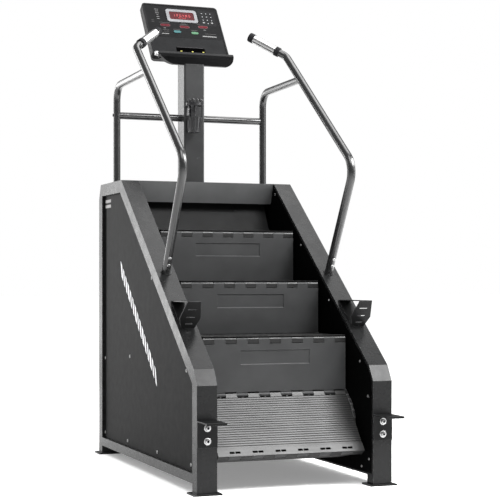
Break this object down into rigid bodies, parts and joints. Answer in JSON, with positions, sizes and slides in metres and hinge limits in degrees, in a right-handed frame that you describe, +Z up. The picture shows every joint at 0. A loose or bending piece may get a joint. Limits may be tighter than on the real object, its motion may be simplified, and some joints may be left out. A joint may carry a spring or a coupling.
{
  "type": "stair climber",
  "caption": "Floor-standing moving-stair exercise machine with hinged ribbed treads, bent handrails and a tilted console.",
  "frame": {"origin": "centre of the bounding box on the floor", "axes": "+Z up, +Y from the user's end towards the console, +X to the user's right"},
  "size_m": [0.78, 1.5011, 1.972],
  "materials": {
    "frame_black": "satin powder coat",
    "panel_grey": "matt powder coat",
    "liner_black": "matt powder coat",
    "rail_gunmetal": "gloss powder coat",
    "bright_steel": "brushed",
    "chrome": "polished",
    "grip_black": "matt",
    "tread_alu": "anodised, ribbed",
    "riser_grey": "satin powder coat",
    "plastic_black": "fine texture",
    "fascia_grey": "printed film",
    "display_dark": "tinted window",
    "bezel_silver": "silver paint",
    "teal": "matt",
    "pale_green": "matt",
    "cast_grey": "as cast"
  },
  "bodies": {
    "frame": {"bottle_cage": "plastic_black", "brake_unit": "cast_grey", "chain_loops": "bright_steel", "column": "frame_black", "console_fascia": "fascia_grey", "console_housing": "plastic_black", "console_tray": "plastic_black", "crossbar": "rail_gunmetal", "display_bezel": "bezel_silver", "display_window": "display_dark", "foot_plates": "frame_black", "front_bracket_left": "frame_black", "front_bracket_right": "frame_black", "grip_collars": "grip_black", "handrail_left": "rail_gunmetal", "handrail_right": "rail_gunmetal", "inner_liner_left": "liner_black", "inner_liner_right": "liner_black", "keypad": "fascia_grey", "outer_panel_left": "panel_grey", "outer_panel_right": "panel_grey", "panel_screws": "bright_steel", "power_inlet": "plastic_black", "pulse_grip_left": "chrome", "pulse_grip_right": "chrome", "rail_bracket_left": "frame_black", "rail_bracket_right": "frame_black", "rear_cover": "frame_black", "rear_crossmember": "frame_black", "rear_support_left": "rail_gunmetal", "rear_support_right": "rail_gunmetal", "shaft_bearings": "cast_grey", "side_frame_left": "frame_black", "side_frame_right": "frame_black", "socket_bolts": "bright_steel", "top_crossbeam": "frame_black"},
    "flight": {"tread_0": "tread_alu", "tread_1": "tread_alu", "tread_2": "tread_alu", "riser_1": "riser_grey", "riser_2": "riser_grey", "riser_3": "riser_grey"},
    "return_run": {"tread_5": "tread_alu", "tread_6": "tread_alu", "riser_6": "riser_grey", "riser_7": "riser_grey"},
    "tread_low": {"tread_3": "tread_alu"},
    "riser_low": {"riser_4": "riser_grey"},
    "riser_under": {"riser_5": "riser_grey"},
    "tread_under": {"tread_4": "tread_alu"},
    "riser_top": {"riser_0": "riser_grey"},
    "tread_top": {"tread_8": "tread_alu"},
    "tread_rear": {"tread_7": "tread_alu"},
    "riser_rear": {"riser_8": "riser_grey"},
    "bottom_shaft_body": {"bottom_shaft": "bright_steel"},
    "top_shaft_body": {"top_shaft": "bright_steel"},
    "start_button_body": {"start_button": "teal"},
    "cool_down_button_body": {"cool_down_button": "pale_green"},
    "tray_knob_body": {"tray_knob": "bright_steel"},
    "power_switch_body": {"power_switch": "plastic_black"}
  },
  "joints": [
    {"name": "stair_travel", "type": "slide", "parent": "frame", "child": "flight", "axis": [0, -0.7835, -0.6213], "range_m": [0, 0.03]},
    {"name": "return_travel", "type": "slide", "parent": "frame", "child": "return_run", "axis": [0, 0.7835, 0.6213], "range_m": [0, 0.0305]},
    {"name": "low_tread_hinge", "type": "hinge", "parent": "flight", "child": "tread_low", "pos_m": [0, -0.4315, 0.325], "axis": [1, 0, 0], "range_deg": [0, 13.48]},
    {"name": "low_riser_hinge", "type": "hinge", "parent": "tread_low", "child": "riser_low", "pos_m": [0, -0.59394, 0.12713], "axis": [1, 0, 0], "range_deg": [0, 1.74]},
    {"name": "under_riser_hinge", "type": "hinge", "parent": "return_run", "child": "riser_under", "pos_m": [0, -0.12602, 0.26604], "axis": [1, 0, 0], "range_deg": [0, 2.11]},
    {"name": "under_tread_hinge", "type": "hinge", "parent": "riser_under", "child": "tread_under", "pos_m": [0, -0.13975, 0.06351], "axis": [1, 0, 0], "range_deg": [0, 1.44]},
    {"name": "top_riser_hinge", "type": "hinge", "parent": "flight", "child": "riser_top", "pos_m": [0, 0.3365, 0.934], "axis": [1, 0, 0], "range_deg": [0, 7.34]},
    {"name": "top_tread_hinge", "type": "hinge", "parent": "riser_top", "child": "tread_top", "pos_m": [0, 0.43417, 1.11196], "axis": [1, 0, 0], "range_deg": [0, 4.66]},
    {"name": "rear_tread_hinge", "type": "hinge", "parent": "return_run", "child": "tread_rear", "pos_m": [0, 0.38598, 0.67204], "axis": [1, 0, 0], "range_deg": [0, 4.45]},
    {"name": "rear_riser_hinge", "type": "hinge", "parent": "tread_rear", "child": "riser_rear", "pos_m": [0, 0.63897, 0.71122], "axis": [1, 0, 0], "range_deg": [0, 3.85]},
    {"name": "bottom_shaft_turn", "type": "hinge", "parent": "frame", "child": "bottom_shaft_body", "pos_m": [0, -0.38953, 0.20769], "axis": [1, 0, 0], "range_deg": [0, 14.59]},
    {"name": "top_shaft_turn", "type": "hinge", "parent": "frame", "child": "top_shaft_body", "pos_m": [0, 0.47201, 0.89086], "axis": [1, 0, 0], "range_deg": [0, 14.59]},
    {"name": "start_button_press", "type": "slide", "parent": "frame", "child": "start_button_body", "axis": [0, 0.8142, -0.5806], "range_m": [0, 0.0015], "stiffness_N_per_m": 600, "springref_m": -0.0002},
    {"name": "cool_down_button_press", "type": "slide", "parent": "frame", "child": "cool_down_button_body", "axis": [0, 0.8142, -0.5806], "range_m": [0, 0.0015], "stiffness_N_per_m": 600, "springref_m": -0.0002},
    {"name": "tray_knob_turn", "type": "hinge", "parent": "frame", "child": "tray_knob_body", "pos_m": [-0.1655, 0.4915, 1.716], "axis": [1, 0, 0], "range_deg": [-150, 150]},
    {"name": "power_switch_rock", "type": "hinge", "parent": "frame", "child": "power_switch_body", "pos_m": [-0.18, 0.6625, 0.215], "axis": [1, 0, 0], "range_deg": [0, 12]}
  ],
  "couplings": [
    {"joint": "return_travel", "follows": "stair_travel", "ratio": 1},
    {"joint": "low_tread_hinge", "follows": "stair_travel", "rad_per_m": 7.8281},
    {"joint": "low_riser_hinge", "follows": "stair_travel", "rad_per_m": 1.0062},
    {"joint": "under_riser_hinge", "follows": "stair_travel", "rad_per_m": 1.2227},
    {"joint": "under_tread_hinge", "follows": "stair_travel", "rad_per_m": 0.82837},
    {"joint": "top_riser_hinge", "follows": "stair_travel", "rad_per_m": 4.2577},
    {"joint": "top_tread_hinge", "follows": "stair_travel", "rad_per_m": 2.7003},
    {"joint": "rear_tread_hinge", "follows": "stair_travel", "rad_per_m": 2.5796},
    {"joint": "rear_riser_hinge", "follows": "stair_travel", "rad_per_m": 2.2306},
    {"joint": "bottom_shaft_turn", "follows": "stair_travel", "rad_per_m": 8.4746},
    {"joint": "top_shaft_turn", "follows": "stair_travel", "rad_per_m": 8.4746}
  ]
}
